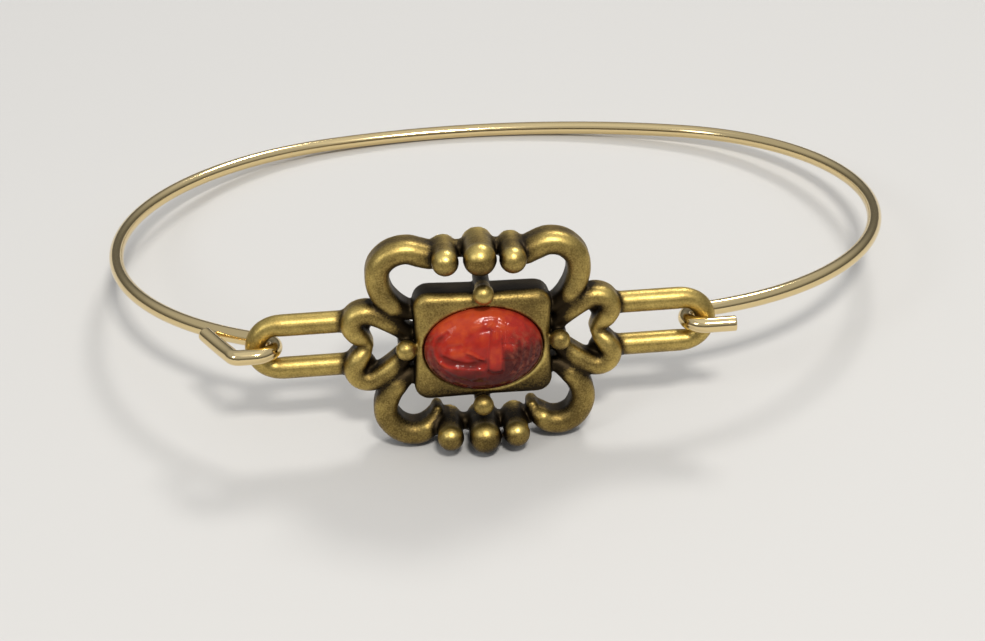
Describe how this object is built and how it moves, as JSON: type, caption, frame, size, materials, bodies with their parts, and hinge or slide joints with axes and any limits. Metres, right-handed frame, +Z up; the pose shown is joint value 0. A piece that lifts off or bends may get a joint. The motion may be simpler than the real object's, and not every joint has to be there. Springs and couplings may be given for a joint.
{
  "type": "spring bangle",
  "caption": "Spring wire bangle with a cast brass openwork centrepiece and a red carved scarab stone.",
  "frame": {"origin": "centre of the bounding box at the surface that the bangle lies on", "axes": "+Z up from the surface, +X along the centrepiece from the wire's eye to its hook, the centrepiece faces -Y"},
  "size_m": [0.0658, 0.0516, 0.0172],
  "materials": {
    "polished_wire": "polished",
    "antique_brass": "antiqued",
    "red_stone": "gloss"
  },
  "bodies": {
    "root": {"spring_wire": "polished_wire", "cast_centrepiece": "antique_brass", "scarab_stone": "red_stone"}
  },
  "joints": []
}
